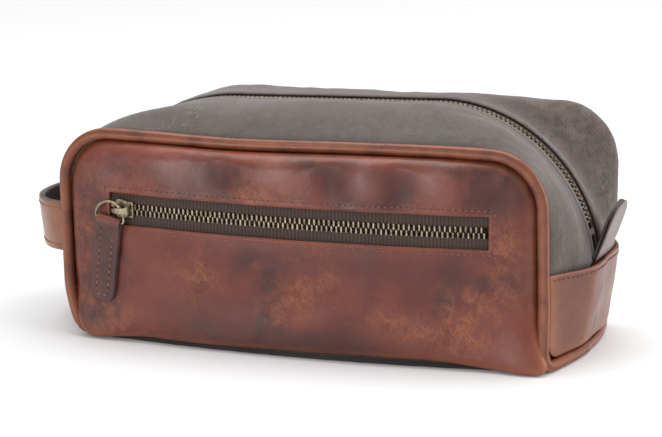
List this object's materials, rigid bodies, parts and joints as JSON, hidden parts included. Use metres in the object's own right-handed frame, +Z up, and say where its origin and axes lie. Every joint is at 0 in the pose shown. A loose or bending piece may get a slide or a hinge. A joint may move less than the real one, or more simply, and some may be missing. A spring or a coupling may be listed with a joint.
{
  "type": "toiletry_bag",
  "caption": "Boxy leather and waxed-canvas toiletry bag with piped edges, a zip pocket on the front, an arched top zip and a side carrying loop",
  "frame": {"origin": "centre of the base, on the face the bag stands on", "axes": "+X along the bag, towards the end with the stitched grab tab; +Y from the front, which has the zip pocket, to the back; +Z up, away from the face the bag stands on"},
  "size_m": [0.3125, 0.1175, 0.12],
  "materials": {
    "pullup_leather": "waxy pull-up, mottled",
    "dark_leather": "satin",
    "piping_leather": "waxy, glazed",
    "waxed_canvas": "waxed matte",
    "zip_tape": "woven herringbone",
    "antique_brass": "antiqued",
    "cotton_cord": "twisted",
    "lining_cloth": "twill",
    "stiffener_board": "matte"
  },
  "bodies": {
    "bag": {"back_panel": "pullup_leather", "base_board": "stiffener_board", "base_panel": "waxed_canvas", "end_panel_left": "pullup_leather", "end_panel_right": "pullup_leather", "front_panel": "pullup_leather", "grab_tab_root": "dark_leather", "gusset_front": "waxed_canvas", "gusset_rear": "waxed_canvas", "handle_lining": "dark_leather", "handle_outer": "pullup_leather", "lining_back": "lining_cloth", "lining_base": "lining_cloth", "lining_front": "lining_cloth", "lining_gusset_front": "lining_cloth", "lining_gusset_rear": "lining_cloth", "main_teeth_front": "antique_brass", "main_teeth_rear": "antique_brass", "main_zip_stops": "antique_brass", "main_zip_tape_front": "zip_tape", "main_zip_tape_rear": "zip_tape", "piping_cord": "cotton_cord", "piping_cover": "piping_leather", "pocket_pouch_front": "lining_cloth", "pocket_pouch_rear": "lining_cloth", "pocket_teeth_lower": "antique_brass", "pocket_teeth_upper": "antique_brass", "pocket_zip_stops": "antique_brass", "pocket_zip_tape_lower": "zip_tape", "pocket_zip_tape_upper": "zip_tape"},
    "pocket_slider_body": {"pocket_slider": "antique_brass"},
    "pocket_ring_body": {"pocket_pull_ring": "antique_brass"},
    "pocket_tab_body": {"pocket_pull_tab": "dark_leather"},
    "main_slider_body": {"main_slider": "antique_brass"},
    "main_ring_body": {"main_pull_ring": "antique_brass"},
    "main_tab_body": {"main_pull_tab": "dark_leather"},
    "grab_tab_body": {"grab_tab_outer": "dark_leather", "grab_tab_inner": "dark_leather"}
  },
  "joints": [
    {"name": "pocket_zip_travel", "type": "hinge", "parent": "bag", "child": "pocket_slider_body", "pos_m": [0, 0.64, 0.068], "axis": [0, 0, 1], "range_deg": [0, 15]},
    {"name": "pocket_ring_lift", "type": "hinge", "parent": "pocket_slider_body", "child": "pocket_ring_body", "pos_m": [-0.08964, -0.05668, 0.068], "axis": [-0.5003, 0.0307, 0.8653], "range_deg": [0, 90]},
    {"name": "pocket_tab_fold", "type": "hinge", "parent": "pocket_ring_body", "child": "pocket_tab_body", "pos_m": [-0.09688, -0.05545, 0.06253], "axis": [-0.9768, 0.1257, 0.1736], "range_deg": [0, 100]},
    {"name": "main_zip_travel", "type": "hinge", "parent": "bag", "child": "main_slider_body", "pos_m": [-0.05, 0, 0.027], "axis": [0, 1, 0], "range_deg": [0, 63.7]},
    {"name": "main_ring_swing", "type": "hinge", "parent": "main_slider_body", "child": "main_ring_body", "pos_m": [-0.13474, 0, 0.06591], "axis": [0, 1, 0], "range_deg": [0, 8]},
    {"name": "main_tab_swing", "type": "hinge", "parent": "main_ring_body", "child": "main_tab_body", "pos_m": [-0.14261, 0, 0.06041], "axis": [0, 1, 0], "range_deg": [0, 8]},
    {"name": "grab_tab_fold", "type": "hinge", "parent": "bag", "child": "grab_tab_body", "pos_m": [0.1395, 0, 0.0487], "axis": [0, 1, 0], "range_deg": [-33, 54], "stiffness_Nm_per_rad": 0.006}
  ]
}
